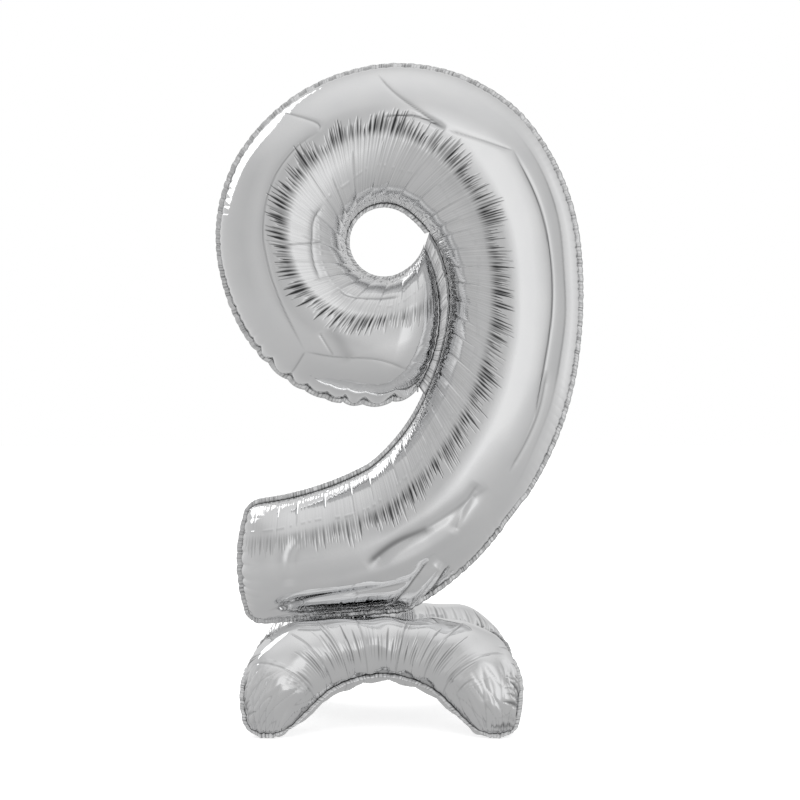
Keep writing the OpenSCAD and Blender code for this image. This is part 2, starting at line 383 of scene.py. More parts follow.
class Tube:
    """One inflated tube: two films that meet at a weld line all round.

    round0 and round1 are the lengths over which its ends round off. With fuller, its height follows its
    width plus that much.
    """

    def __init__(self, stroke, flange, height, round0, round1, fuller=None):
        self.k = stroke
        self.flange = flange
        step = stroke.run[1] - stroke.run[0]
        self.r0 = flange
        self.r1 = stroke.length - flange
        n = int((self.r1 - self.r0) / step) + 1
        self.run = np.linspace(self.r0, self.r1, n)
        ends = stroke.at(np.array([self.r0, self.r1]), np.array([0.5, 0.5]))
        mid = stroke.at(self.run, np.full(n, 0.5))
        self.d0 = np.linalg.norm(mid - ends[0], axis=1)
        self.d1 = np.linalg.norm(mid - ends[1], axis=1)
        far = self.run - self.r0
        self.d0 = np.where(far < 1.5 * round0, self.d0, 1e3)
        self.d1 = np.where(self.r1 - self.run < 1.5 * round1, self.d1, 1e3)
        self.cap = end_cap(self.d0 / round0) * end_cap(self.d1 / round1)
        self.s = np.interp(self.run, stroke.run, stroke.s)
        wa = stroke.at(self.run, np.zeros(n))
        wb = stroke.at(self.run, np.ones(n))
        self.len_in = path_run(wa)
        self.len_out = path_run(wb)
        self.wide = np.linalg.norm(wb - wa, axis=1)
        self.height = height * np.ones(n)
        if fuller is not None:
            self.height = height * (self.wide + fuller) / (self.wide.max() + fuller)
        self.band = path_run(stroke.at(self.run, np.full(n, 0.42)))

    def film(self, displace, m):
        """Grid of points (x, y off the weld plane, z), how far the weld lifts them and how much painted shade
        they carry.
        """
        n = len(self.run)
        a = np.linspace(0, 1, m)
        ang = math.pi * a
        lead = self.seam_in.inward(self.len_in)[:, None]
        trail = self.seam_out.inward(self.len_out)[:, None]
        ua = (1 - np.cos(ang)) / 2
        u = np.broadcast_to(ua, (n, m))
        run = np.broadcast_to(self.run[:, None], (n, m))
        # both ends: the weld line wanders there too
        e0 = self.seam_0.inward(self.wide[0] * ua)
        e1 = self.seam_1.inward(self.wide[-1] * ua)
        run = run + e0 * np.exp(-self.d0 / 8)[:, None] - e1 * np.exp(-self.d1 / 8)[:, None]
        flat = self.k.at(run.ravel(), u.ravel()).reshape(n, m, 2)
        w = self.wide[:, None]
        # the films start at the weld line, so they are pushed in across the stroke by the flange
        shift = self.flange * (1 - 2 * u) + lead * np.exp(-u * w / 6) - trail * np.exp(-(1 - u) * w / 6)
        way = self.k.at(self.run, np.ones(n)) - self.k.at(self.run, np.zeros(n))
        way /= np.maximum(np.linalg.norm(way, axis=1, keepdims=True), 1e-6)
        flat = flat + way[:, None, :] * shift[..., None]
        y = (self.height * self.cap)[:, None] * np.sin(ang) ** 0.96
        base = np.stack([flat[..., 0], y, flat[..., 1]], -1)
        nrm = normals_of(base)
        if nrm[n // 2, m // 2, 1] < 0:
            nrm = -nrm
        d, fold = displace(self, a, base)
        end = np.minimum(self.d0, self.d1)
        rim = np.minimum(np.minimum(a, 1 - a)[None, :] * w * ARC, end[:, None] * 1.2)
        d = d * np.clip(rim / 2.5, 0, 1)
        pts = base + nrm * d[..., None]
        pts[..., 1] = np.maximum(pts[..., 1], 0)
        # the weld line's own waviness out of the plane, fading into the film
        lift = (
            self.seam_in.out(self.len_in)[:, None] * np.exp(-a * w * ARC / 9)
            + self.seam_out.out(self.len_out)[:, None] * np.exp(-(1 - a) * w * ARC / 9)
        ) * np.clip(end / 10, 0, 1)[:, None]
        lift = lift + self.seam_0.out(self.wide[0] * ua) * np.exp(-self.d0 / 9)[:, None]
        lift = lift + self.seam_1.out(self.wide[-1] * ua) * np.exp(-self.d1 / 9)[:, None]
        return pts, lift, fold


def seam_puckers(t, a, pitch, deep, long, seed):
    """Short puckers that run in from the outer weld, and the pillows between them."""
    away = (1 - a)[None, :] * t.wide[:, None] * ARC
    i, f, gap = t.seam_out.cells.find(t.len_out)
    puff = 1.3 * np.abs(np.sin(np.pi * f)) ** 0.7 - 0.75
    size = t.seam_out.depth[i] * np.clip(gap / 14, 0.8, 1.5) * puff
    size = size * t.seam_out.calm(t.len_out)
    pillow = size[:, None] * np.exp(-((away / (0.55 * gap[:, None])) ** 2))
    c = Cells(t.len_out[-1], pitch, 0.5, seed)
    v, near = pleats(t.len_out, c, c.random(*long), away, 6.0, 0.5)
    deep = deep * c.random(0.2, 1.2)[near][:, None] * v
    return pillow - deep, deep


def end_creases(a, dist, wide, pitch, deep, long, seed):
    """Creases that run along the stroke from one of its ends."""
    v = wide * (1 - np.cos(math.pi * a)) / 2
    c = Cells(wide, pitch, 0.4, seed)
    i, f, _ = c.find(v)
    prof = np.abs(np.sin(np.pi * f)) ** 0.6
    return deep * (prof[None, :] - 0.6) * np.exp(-dist[:, None] / (0.45 * c.random(*long)[i])[None, :])


# Long creases and soft folds of the front film, read off the photograph, in millimetres as the camera sees
# them: depth, half width, how dark the painted shade along each is, and the points. A negative depth is a
# ridge.
CREASES = [
    (0.9, 1.6, 0.5, [(-26, 725), (-8, 704), (27, 679), (52, 662)]),
    (0.7, 1.4, 0.4, [(52, 662), (88, 652), (128, 638)]),
    (1.3, 1.7, 0.85, [
        (125, 643), (153, 591), (166, 548), (172, 504), (172, 456), (166, 413), (158, 370),
        (152, 335)
    ]),
    (0.9, 1.6, 0.5, [(-134, 683), (-90, 670), (-92, 660)]),
    (0.8, 1.5, 0.4, [
        (-92, 660), (-116, 646), (-145, 609), (-158, 556), (-151, 509), (-134, 461), (-108, 411)
    ]),
    (0.6, 1.4, 0.35, [(-108, 411), (-73, 404), (-25, 404), (12, 389)]),
    (0.6, 1.4, 0.35, [(-108, 411), (-120, 391), (-127, 383)]),
    (1, 2.2, 0.3, [(-92, 433), (-75, 405)]),
    (0.3, 24, 0.2, [(-80, 442), (-56, 400)]),
    (1.1, 3.2, 0.9, [(-23, 677), (18, 680), (50, 663)]),
    (1, 1.8, 0.7, [(-87, 578), (-100, 560), (-100, 537), (-101, 530), (-98, 509), (-90, 490)]),
    (0.8, 1.5, 0.5, [(-147, 530), (-116, 533), (-86, 535)]),
    (0.9, 1.6, 0.5, [(-71, 485), (-64, 474), (-34, 470), (1, 474)]),
    (1.6, 3.5, 0.35, [(166, 390), (159, 346), (144, 311), (122, 274)]),
    (2.2, 7, 0.25, [(100, 258), (37, 215), (-2, 195), (-40, 168)]),
    (-1.5, 7, 0, [(-169, 121), (-122, 141), (-66, 148), (-11, 165), (40, 190), (100, 238)]),
    (1.6, 4, 0.3, [(-150, 118), (-110, 130), (-60, 138), (-6, 146), (24, 158)]),
    (0.3, 13, 0.6, [(-38, 170), (-20, 186), (-2, 198), (20, 206), (37, 213)]),
    (1.8, 6, 0, [(-111, 200), (-125, 189), (-128, 169), (-126, 146)]),
    (-5, 5.5, 0, [(2, 120), (24, 146), (46, 174)]),
    (2.8, 2, 0.8, [(16, 116), (37, 140), (56, 170)]),
    (2.0, 1.8, 0.7, [(-10, 123), (12, 148), (32, 176)]),
    (2.0, 5, 0.2, [(88, 262), (72, 236), (60, 205)]),
]

# Where the band of fine pleats ends across the film, and how strong it is, both against the station.
BAND_END = (
    [0, 2.5, 3, 5, 6, 7, 8, 9, 10.5, 12],
    [0.43, 0.44, 0.45, 0.468, 0.5, 0.565, 0.575, 0.551, 0.475, 0.455],
)
BAND_STRENGTH = ([0, 0.7, 1.5, 2.2, 10.8, 11.6, 12], [0.1, 0.2, 0.4, 1, 1, 0.6, 0.3])


# Creases beside the slit between bowl and stem: distance from the weld, half width, how dark the painted
# shade in each is.
SLIT_CREASES = ((4.5, 1.6, 0.8), (9, 1.3, 0.55), (13.5, 1.1, 0.35))


def number_pattern(seed, creases):
    """The number's folds: a function that gives relief and painted shade over a tube's film."""
    def displace(t, a, base):
        x, A = t.band, a[None, :]
        run = A * t.wide[:, None] * ARC
        p = np.stack(np.broadcast_arrays(x[:, None], run), -1)
        strong = np.interp(t.s, *BAND_STRENGTH)[:, None]
        stop = np.interp(t.s, *BAND_END)
        # panels between radial creases, with painted shade in the creases
        panels = Cells(x[-1], 27, 0.35, seed + 1)
        height = puffs(x, panels, panels.random(0.6, 1.5), 0.7) * (0.25 + 0.75 * ease(t.s, 2.4, 3.4))
        d = height[:, None] * ease(A, 0.0, 0.07) * (1 - ease(A, 0.15, 0.42))
        at = np.append(np.interp(panels.edges, x, stop), stop[-1])
        v, near = pleats(x, panels, at + panels.random(-0.2, 0.01), A, 0.05, 0.04)
        d = d - 0.7 * panels.random(0.4, 1.2)[near][:, None] * v * ease(A, 0.04, 0.1)
        fold = 0.3 * v * panels.random(0.1, 1.0)[near][:, None] * ease(A, 0.1, 0.2)
        # fine pleats, shallow inside the band and deep where they end in points, with painted shade in them
        # that is darkest at the points
        for pitch, depth, k in ((3.9, 1.0, 2), (2.7, 0.7, 3)):
            c = Cells(x[-1], pitch, 0.4, seed + 20 * k)
            at = np.append(np.interp(c.edges, x, stop), stop[-1])
            end = at + c.random(-0.045, 0.03) + 0.012 * wander(np.append(c.edges, 0), 60, seed + 3)
            v, near = pleats(x, c, end, A, 0.06, 0.5)
            rise = ease(A, stop[:, None] - 0.115, stop[:, None] - 0.055)
            size = depth * c.random(0.4, 1.2)[near][:, None] * strong
            d = d - v * size * (0.1 + 0.9 * rise) * ease(A, 0.08, 0.16)
            painted_valley_shade = np.clip(c.random(0.25, 1.3), 0, 1)[near][:, None]
            fold = np.maximum(fold, 1.5 * depth * v * rise * strong * painted_valley_shade)
            fold = np.maximum(fold, 0.16 * v * strong * (1 - rise) * ease(A, 0.1, 0.2) * painted_valley_shade)
        # a dotted line inside the band, with a little painted shade on its beads
        c = Cells(x[-1], 3.2, 0.4, seed + 4)
        i, _, _ = c.find(x)
        line = 0.31 + 0.012 * wander(x, 120, seed + 5)
        off = (A - line[:, None]) * t.wide[:, None] * ARC
        dots = np.exp(-(off / 1.3) ** 2) * (c.random(0, 1)[i] > 0.5)[:, None]
        d = d + 0.45 * dots
        fold = np.maximum(fold, 0.12 * dots)
        # crumpled ruffle beside the inner weld, with painted shade between its beads and along the weld
        c = Cells(x[-1], 3.4, 0.35, seed + 6)
        _, f, _ = c.find(x + 1.5 * wander2(p, 14, seed + 7)[:, 0])
        ring = ease(A, 0.01, 0.04) * (1 - ease(A, 0.1, 0.16)) * (0.3 + 0.7 * ease(t.s, 2.4, 3.2)[:, None])
        bead = np.abs(np.sin(np.pi * f))[:, None]
        d = d + (1.2 * bead - 0.6) * ring + 0.4 * ring * wander2(p, 9, seed + 8)
        fold = np.maximum(fold, 0.3 * ring * (1 - bead) ** 2)
        fold = np.maximum(fold, 0.5 * np.exp(-run / 2.6))
        # painted shade in the creases beside the slit
        slit = ease(t.s, 3.1, 3.5) * (1 - ease(t.s, 5.2, 5.5))
        for at, wide, painted_shade in SLIT_CREASES:
            wave = run - at - 1.2 * wander(x, 34, seed + int(at))[:, None]
            crease = np.exp(-((wave / wide) ** 2)) * slit[:, None]
            d = d - 0.5 * crease
            fold = np.maximum(fold, painted_shade * crease)
        # smooth outer half
        d = d + 0.45 * wander2(p / np.array([1.0, 1.6]), 95, seed + 9) * ease(A, 0.5, 0.75)
        # puckers and pillows from the outer weld, with painted shade in the puckers and along the weld
        lump, deep = seam_puckers(t, a, 4.6, 0.55, (3, 15), seed + 10)
        d = d + lump
        fold = np.maximum(fold, 0.7 * deep)
        fold = np.maximum(fold, 0.45 * np.exp(-(A[:, ::-1]) * t.wide[:, None] * ARC / 1.6))
        # crumpled foot of the number, where it is gathered onto the crest, with painted shade in the gathers
        low = ease(t.s, 0.7, 1.0) * (1 - ease(t.s, 2.0, 2.25))
        away = (1 - A) * t.wide[:, None] * ARC
        c = Cells(t.len_out[-1], 3.6, 0.4, seed + 14)
        v, near = pleats(t.len_out, c, c.random(5, 20), away, 10.0, 0.5)
        gather = v * c.random(0.1, 1.0)[near][:, None] * low[:, None]
        d = d - 0.9 * gather
        fold = np.maximum(fold, 0.6 * gather)
        d = d + low[:, None] * 0.5 * wander2(p, 17, seed + 15) * np.exp(-((away - 12) / 9) ** 2)
        # both ends
        d = d + end_creases(a, t.d0, t.wide[0], 12, 1.8, (10, 28), seed + 11)
        d = d + end_creases(a, t.d1, t.wide[-1], 12, 1.4, (12, 34), seed + 12)
        if creases:
            scale = EYE_DISTANCE / (EYE_DISTANCE - base[..., 1])
            seen = np.stack([base[..., 0] * scale, EYE_Z + (base[..., 2] - EYE_Z) * scale], -1)
            # each crease sinks the film and carries painted shade along it
            for depth, wide, painted_shade, line in CREASES:
                near, far = along(seen, line, 4 * wide + 3)
                fade = np.clip(np.minimum(far, 1 - far) / 0.12, 0, 1)
                d = d - depth * np.exp(-(near / (wide + 0.4)) ** (1.2 if wide < 3 else 2)) * fade
                fold = np.maximum(fold, painted_shade * np.exp(-(near / max(0.9, 0.3 * wide)) ** 2) * fade)
        return d, np.clip(fold, 0, 1)

    return displace


def foot_pattern(seed):
    """The same for a foot."""
    def displace(t, a, base):
        x, A = t.band, a[None, :]
        mid = np.clip(1 - np.abs(x - x[-1] / 2) / (x[-1] / 2), 0, 1)[:, None]
        on = ease(mid, 0.12, 0.35)
        stop = 0.6 - 0.08 * mid[:, 0]
        # panels between radial creases, with painted shade in the creases
        panels = Cells(x[-1], 38, 0.3, seed + 1)
        height = puffs(x, panels, panels.random(0.8, 2.0), 0.6)
        d = height[:, None] * ease(A, 0.0, 0.08) * (1 - ease(A, 0.25, 0.62)) * on
        v, near = pleats(x, panels, panels.random(0.55, 0.8), A, 0.1, 0.04)
        d = d - 0.8 * panels.random(0.5, 1.2)[near][:, None] * v * on * ease(A, 0.03, 0.1)
        fold = 0.25 * v * on
        # fine pleats from the inner weld, with painted shade in them
        c = Cells(x[-1], 3.5, 0.4, seed + 2)
        v, near = pleats(x, c, stop[len(x) // 2] + c.random(-0.2, 0.04), A, 0.12, 0.52)
        size = c.random(0.1, 1.1)[near][:, None] * on * v * ease(A, 0.06, 0.25)
        d = d - 0.85 * size
        fold = np.maximum(fold, 0.9 * np.clip(size - 0.2, 0, 1))
        run = A * t.wide[:, None] * ARC
        # painted shade along the inner weld
        fold = np.maximum(fold, 0.5 * np.exp(-run / 2.5))
        # gathers from the outer weld onto the crest, with painted shade in them
        away = (1 - A) * t.wide[:, None] * ARC
        c = Cells(t.len_out[-1], 5.5, 0.45, seed + 3)
        v, near = pleats(t.len_out, c, c.random(6, 44), away, 16.0, 0.48)
        crest = v * c.random(0.1, 1.0)[near][:, None]
        d = d - 1.3 * crest
        fold = np.maximum(fold, 0.8 * crest)
        # creases that cross the toes, with a thin line of painted shade in each
        toe = 1 - ease(mid, 0.16, 0.34)
        p = np.stack(np.broadcast_arrays(x[:, None], run), -1)
        crumple = wander2(p / np.array([1.8, 1.0]), 24, seed + 8, 6)
        d = d - 1.3 * toe * np.exp(-np.abs(crumple / 0.5))
        fold = np.maximum(fold, 0.2 * toe * np.exp(-((crumple / 0.06) ** 2)))
        # beads beside the inner weld
        c = Cells(x[-1], 4.0, 0.4, seed + 9)
        i, f, _ = c.find(x)
        line = np.exp(-(((run - 11) / 1.6) ** 2)) * on
        d = d + 0.8 * line * (np.abs(np.sin(np.pi * f)) * (c.random(0, 1)[i] > 0.35))[:, None]
        lump, _ = seam_puckers(t, a, 5, 0.5, (3, 12), seed + 4)
        d = d + lump
        d = d + end_creases(a, t.d0, t.wide[0], 7, 4.0, (20, 60), seed + 5)
        d = d + end_creases(a, t.d1, t.wide[-1], 7, 4.0, (20, 60), seed + 6)
        d = d + 1.2 * wander2(p, 46, seed + 7)
        return d, np.clip(fold, 0, 1)

    return displace


# ---------------------------------------------------------------- the number
number = Tube(nine, flange=6.0, height=61.5, round0=62, round1=52)
number.seam_in = Seam(1000, 6, 0.4, 0.6, 40)
number.seam_0 = Seam(260, 13, 1.4, 1.0, 42)
number.seam_1 = Seam(260, 13, 1.0, 0.8, 43)


def outline_pitch(x):
    """Fine scallops all round, and long pillows under the bowl."""
    s = np.interp(x, number.len_out, number.s)
    return float(np.interp(s, [0, 9.5, 9.8, 11.6, 11.9, 12], [10, 10, 27, 27, 10, 10]))


number_tab_at = float(np.interp(3.12, number.s, number.len_out))
number.seam_out = Seam(number.len_out[-1], outline_pitch, 1.0, 1.1, 41, number_tab_at)
wider = np.diff(number.seam_out.cells.edges, append=number.seam_out.cells.edges[-1] + 10)
number.seam_out.depth[:-1] *= np.clip(wider / 10, 0.6, 3.2) ** 1.4


def film_uv(length, across):
    """Film coordinates in metres, from distances along and across it."""
    return np.stack(np.broadcast_arrays(length[:, None], across[None, :]), -1).reshape(-1, 2) * MM


def film_object(name, tube, pattern, place, turned, rows):
    """One film of a tube, with its painted shade. rows is the number of points across it."""
    pts, lift, fold = tube.film(pattern, rows)
    pts = place(pts, lift)
    n, m = pts.shape[:2]
    uv = film_uv(tube.band, np.linspace(0, 1, m) * 200.0)
    return make_mesh(name, pts.reshape(-1, 3), grid_quads(n, m, turned), uv, fold)


def number_front(pts, lift):
    out = pts.copy()
    out[..., 1] = -(FILM_OFF + pts[..., 1]) + lift
    return out


def number_rear(pts, lift):
    out = pts.copy()
    out[..., 1] = FILM_OFF + pts[..., 1] + lift
    return out


front_film = film_object("number_front_panel", number, number_pattern(100, True), number_front, True, 168)
rear_film = film_object("number_rear_panel", number, number_pattern(300, False), number_rear, False, 110)


# ---------------------------------------------------------------- the base
def tilt(x, y, z, front):
    """From the flat drawing of a foot (y off it, outwards positive) to the part's frame."""
    t = -z / FOOT_DROP
    y = y + FOOT_BOW * 4 * t * (1 - t) * (1.4 - 0.9 * t)
    yy = -y * math.cos(TILT) + z * math.sin(TILT)
    zz = CREST_Z + y * math.sin(TILT) + z * math.cos(TILT)
    yy = np.minimum(yy, -FOOT_APART)
    zz = np.maximum(zz, 0.0)
    return np.stack([BASE_X + x, yy if front else -yy, zz], -1)


foot_tube = Tube(foot, flange=5.0, height=46.0, round0=36, round1=36, fuller=30)
foot_tube.seam_in = Seam(500, 9, 0.6, 0.5, 60)
base_tab_at = float(np.interp(6.8, foot_tube.s, foot_tube.len_out))
foot_tube.seam_out = Seam(700, 13, 1.4, 1.0, 61, base_tab_at)
foot_tube.seam_0 = Seam(60, 8, 1.6, 1.0, 62)
foot_tube.seam_1 = Seam(60, 8, 1.6, 1.0, 63)


def foot_place(front, outwards):
    def place(pts, lift):
        y = (FILM_OFF + pts[..., 1]) * (1 if outwards else -1) + lift
        return tilt(pts[..., 0], y, pts[..., 2], front)

    return place


feet = {}
for front in (True, False):
    for outwards in (True, False):
        name = ("front" if front else "rear") + "_foot_" + ("outer" if outwards else "inner") + "_panel"
        pattern = foot_pattern(500 + 40 * (2 * front + outwards))
        place = foot_place(front, outwards)
        feet[name] = film_object(name, foot_tube, pattern, place, outwards == front, 84)


# ---------------------------------------------------------------- flanges
def ribbon(name, inner, outer, y_in, y_out, place, flutter):
    """A thin two-sided band between two paths in the weld plane, whose cut edge flutters, with painted shade
    in its crimps and darker towards the weld line.
    """
    n = len(inner)
    u = np.linspace(0, 1, RIBBON_ROWS)
    p = inner[:, None, :] * (1 - u)[None, :, None] + outer[:, None, :] * u[None, :, None]
    y = y_in[:, None] * (1 - u)[None, :] + y_out[:, None] * u[None, :]
    y = y + flutter[:, None] * (u * (1.6 - u))[None, :]
    sides = [np.stack([p[..., 0], y + s * RIBBON_T / 2, p[..., 1]], -1) for s in (-1, 1)]
    pts = np.concatenate([place(q).reshape(-1, 3) for q in sides])
    run = path_run(outer)
    uv = film_uv(run, u * 7)
    # painted shade in the crimp valleys, and darker towards the weld line
    c = Cells(run[-1], 3.6, 0.45, n)
    i, f, _ = c.find(run)
    painted_valley_shade = c.random(0, 0.75)[i] * (1 - np.sin(np.pi * f)) ** 1.5
    fold = np.broadcast_to(painted_valley_shade[:, None], (n, RIBBON_ROWS)).ravel() + np.tile(0.25 * (1 - u), n)
    both = np.concatenate([uv, uv]), np.concatenate([fold, fold])
    return make_mesh(name, pts, two_sided(n, RIBBON_ROWS), *both)


def edge_paths(tube, extra):
    """Weld line, cut edge, waviness and calm along both sides and both ends of a tube.

    extra is how much of the weld line's waviness the cut edge has.
    """
    k, n = tube.k, len(tube.run)
    one, zero = np.ones(n), np.zeros(n)
    ina, inb = tube.seam_in.inward(tube.len_in), tube.seam_out.inward(tube.len_out)
    a = k.at(tube.run, zero)
    b = k.at(tube.run, one)
    way = (b - a) / np.maximum(np.linalg.norm(b - a, axis=1, keepdims=True), 1e-6)
    inner = (
        a + way * (tube.flange + ina)[:, None], a + way * (ina * extra)[:, None],
        tube.seam_in.out(tube.len_in), one,
    )
    outer = (
        b - way * (tube.flange + inb)[:, None], b - way * (inb * extra)[:, None],
        tube.seam_out.out(tube.len_out), tube.seam_out.calm(tube.len_out) * one,
    )
    u = np.linspace(0, 1, END_STEPS)
    ends = []
    for seam, at, sign, edge in ((tube.seam_0, tube.r0, 1, 0), (tube.seam_1, tube.r1, -1, k.length)):
        v = (tube.wide[0] if sign > 0 else tube.wide[-1]) * u
        w = seam.inward(v)
        i = 0 if sign > 0 else n - 1
        lead = tube.flange + ina[i]
        trail = tube.flange + inb[i]
        p = k.at(at + sign * w, u)
        p = p + way[i] * (lead * (1 - u) - trail * u)[:, None]
        q = k.at(np.full(END_STEPS, edge) + sign * w * extra, u)
        ends.append((p, q, seam.out(v), np.ones(END_STEPS)))
    return inner, outer, ends


def upright(p):
    """The number's flanges stand as drawn."""
    return p


n_inner, n_outer, n_ends = edge_paths(number, 0.75)
notch = int(np.argmin(np.abs(number.run - np.interp(3.0, nine.s, nine.run))))
corner = int(np.argmin(np.abs(number.run - np.interp(5.45, nine.s, nine.run))))


def crimp(run, seed, size, calm=1):
    """How far the cut edge flutters out of the plane."""
    c = Cells(run[-1] + 40, 5.5, 0.45, seed)
    i, f, _ = c.find(run)
    return size * c.random(-1, 1)[i] * np.sin(np.pi * f) * calm


def band(name, parts, place, seed, size):
    """A flange along several parts, one after another, without doubled points."""
    inner, outer, y, calm = (np.concatenate([p[k] for p in parts]) for k in range(4))
    moved = [np.linalg.norm(np.diff(path, axis=0), axis=1) for path in (inner, outer)]
    keep = np.concatenate([[True], moved[0] + moved[1] > 0.05])
    inner, outer, y, calm = inner[keep], outer[keep], y[keep], calm[keep]
    return ribbon(name, inner, outer, y, y, place, crimp(path_run(outer), seed, size, calm))


def rev(part):
    return tuple(q[::-1] for q in part)


def part_of(part, i, j):
    return tuple(q[i:j] for q in part)


edge_flange = band(
    "number_outline_flange",
    [rev(part_of(n_inner, 0, notch + 1)), n_ends[0], n_outer],
    upright, 71, 0.7,
)
hole_flange = band("hole_flange", [part_of(n_inner, corner, None)], upright, 72, 0.4)
slit_edge = n_inner[0][notch:corner + 1]
end_seam = n_ends[1][0]
t_slit = np.linspace(0, 1, END_STEPS)
slit_t = np.linspace(0, 1, len(slit_edge))
stem_line = np.stack([np.interp(t_slit, slit_t, slit_edge[:, c]) for c in (0, 1)], -1)[::-1]
slit_flange = ribbon(
    "bowl_end_flange", end_seam, stem_line + np.array([-0.3, 0]), n_ends[1][2], 0 * t_slit, upright,
    crimp(path_run(end_seam), 73, 0.5),
)

f_inner, f_outer, f_ends = edge_paths(foot_tube, 0.7)
for front in (True, False):
    name = ("front" if front else "rear") + "_foot_flange"

    def place(p, front=front):
        return tilt(p[..., 0], p[..., 1], p[..., 2], front)

    parts = [rev(f_inner), f_ends[0], f_outer, rev(f_ends[1]), rev(part_of(f_inner, -2, None))]
    feet[name] = band(name, parts, place, 80 + front, 0.6)


# ---------------------------------------------------------------- webs and crest
def strip(name, top, bottom, seed, size, rows, t=0.3):
    """A web of film between two paths in the upright middle plane, gathered into folds."""
    n = len(top)
    u = np.linspace(0, 1, rows)
    p = top[:, None, :] * (1 - u)[None, :, None] + bottom[:, None, :] * u[None, :, None]
    c = Cells(60 + n, n / 7, 0.3, seed)
    i, f, _ = c.find(np.arange(n, dtype=float))
    fold = size * c.random(-1, 1)[i] * np.sin(np.pi * f)
    y = fold[:, None] * (0.35 + np.sin(np.pi * u))[None, :] * 0.7
    sides = [np.stack([p[..., 0], y + s * t / 2, p[..., 1]], -1).reshape(-1, 3) for s in (-1, 1)]
    uv = film_uv(np.arange(n) * 0.5, u * 10)
    return make_mesh(name, np.concatenate(sides), two_sided(n, rows), np.concatenate([uv, uv]))


def outer_at(s, n):
    run = np.interp(s, nine.s, nine.run)
    return nine.at(np.linspace(run[0], run[1], n), np.ones(n))


def web(name, s, flare, seed, size, rows):
    """A web from the number's outer edge, between two stations, down to the crest seal."""
    n = 60
    top = outer_at(s, n)
    x = np.linspace(top[0, 0] - 3, top[-1, 0] + flare, n)
    return strip(name, top, np.stack([x, np.full(n, FIN_Z + GAP)], -1), seed, size, rows)


left_web = web("join_web_left_film", (1.32, 1.5), -1, 91, 0.5, 5)
right_web = web("join_web_right_film", (1.94, 2.07), 1, 92, 0.8, 12)
crest_x = np.linspace(BASE_X - 92, BASE_X + 40, 200)
crest_top, crest_low = (
    np.stack([crest_x, np.full(200, z)], -1) for z in (FIN_Z, CREST_Z + GAP)
)
crest = strip("crest_seal", crest_top, crest_low, 93, 0.25, 4, t=0.5)


# ---------------------------------------------------------------- materials
def material(name, colour, metal, rough):
    mat = bpy.data.materials.new(name)
    mat.use_nodes = True
    nodes, links = mat.node_tree.nodes, mat.node_tree.links
    b = nodes["Principled BSDF"]
    b.inputs["Metallic"].default_value = metal
    b.inputs["Roughness"].default_value = rough
    b.inputs["Base Color"].default_value = (*colour, 1)
    return mat, nodes, links, b


def noise(nodes, links, coords, scale, detail, rough=0.5):
    t = nodes.new("ShaderNodeTexNoise")
    t.inputs["Scale"].default_value = scale
    t.inputs["Detail"].default_value = detail
    t.inputs["Roughness"].default_value = rough
    links.new(coords, t.inputs["Vector"])
    return t.outputs["Fac"]


def ramp(nodes, links, value, low, high, a=0.0, b=1.0):
    m = nodes.new("ShaderNodeMapRange")
    m.inputs["From Min"].default_value = low
    m.inputs["From Max"].default_value = high
    m.inputs["To Min"].default_value = a
    m.inputs["To Max"].default_value = b
    links.new(value, m.inputs["Value"])
    return m.outputs["Result"]


def bump(nodes, links, height, distance, strength, chain=None):
    n = nodes.new("ShaderNodeBump")
    n.inputs["Distance"].default_value = distance
    n.inputs["Strength"].default_value = strength
    links.new(height, n.inputs["Height"])
    if chain is not None:
        links.new(chain, n.inputs["Normal"])
    return n.outputs["Normal"]


def mix_colour(nodes, links, fac, a, b):
    m = nodes.new("ShaderNodeMix")
    m.data_type = "RGBA"
    links.new(fac, m.inputs["Factor"])
    m.inputs["A"].default_value = (*a, 1)
    m.inputs["B"].default_value = (*b, 1)
    return m.outputs["Result"]


def foil(name, rough, crumple):
    """Metallised film; crumple is the strength of its waviness, apart from the finest grain."""
    mat, nodes, links, b = material(name, (0.86, 0.865, 0.87), 1.0, rough)
    tc = nodes.new("ShaderNodeTexCoord")
    obj = tc.outputs["Object"]
    soft = noise(nodes, links, obj, 38, 3)
    fine = noise(nodes, links, obj, 420, 2)
    grain = noise(nodes, links, obj, 1500, 2)
    links.new(ramp(nodes, links, soft, 0.3, 0.7, rough - 0.03, rough + 0.05), b.inputs["Roughness"])
    tone = mix_colour(nodes, links, soft, (0.83, 0.835, 0.845), (0.9, 0.9, 0.9))
    # painted shade: folds, creases and the film along the welds go dark by the attribute that the meshes
    # carry
    fold = nodes.new("ShaderNodeAttribute")
    fold.attribute_name = "fold"
    m = nodes.new("ShaderNodeMix")
    m.data_type = "RGBA"
    links.new(fold.outputs["Fac"], m.inputs["Factor"])
    links.new(tone, m.inputs["A"])
    m.inputs["B"].default_value = (0.045, 0.046, 0.048, 1)
    links.new(m.outputs["Result"], b.inputs["Base Color"])
    n1 = bump(nodes, links, soft, 0.001, 0.25 * crumple)
    n2 = bump(nodes, links, fine, 0.0002, 0.25 * crumple, n1)
    n3 = bump(nodes, links, grain, 0.00004, 0.2, n2)
    links.new(n3, b.inputs["Normal"])
    return mat


silver = foil("silver_foil_film", 0.07, 0.35)
sealed = foil("sealed_flange_foil", 0.2, 1.6)
tab_mat = foil("tab_foil", 0.24, 0.9)


def clear(name):
    mat, nodes, links, b = material(name, (0.86, 0.88, 0.9), 0.0, 0.3)
    tc = nodes.new("ShaderNodeTexCoord")
    f = noise(nodes, links, tc.outputs["Object"], 200, 3)
    links.new(mix_colour(nodes, links, f, (0.8, 0.83, 0.86), (0.9, 0.92, 0.94)), b.inputs["Base Color"])
    links.new(bump(nodes, links, f, 0.0003, 0.4), b.inputs["Normal"])
    return mat


valve_mat = clear("valve_polyethylene")


def dress(obj, mat):
    obj.data.materials.clear()
    obj.data.materials.append(mat)


def own(obj, body, nodes_, mat):
    """Material, body and CAD nodes of one visible piece."""
    dress(obj, mat)
    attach(obj, body)
    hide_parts(*nodes_)


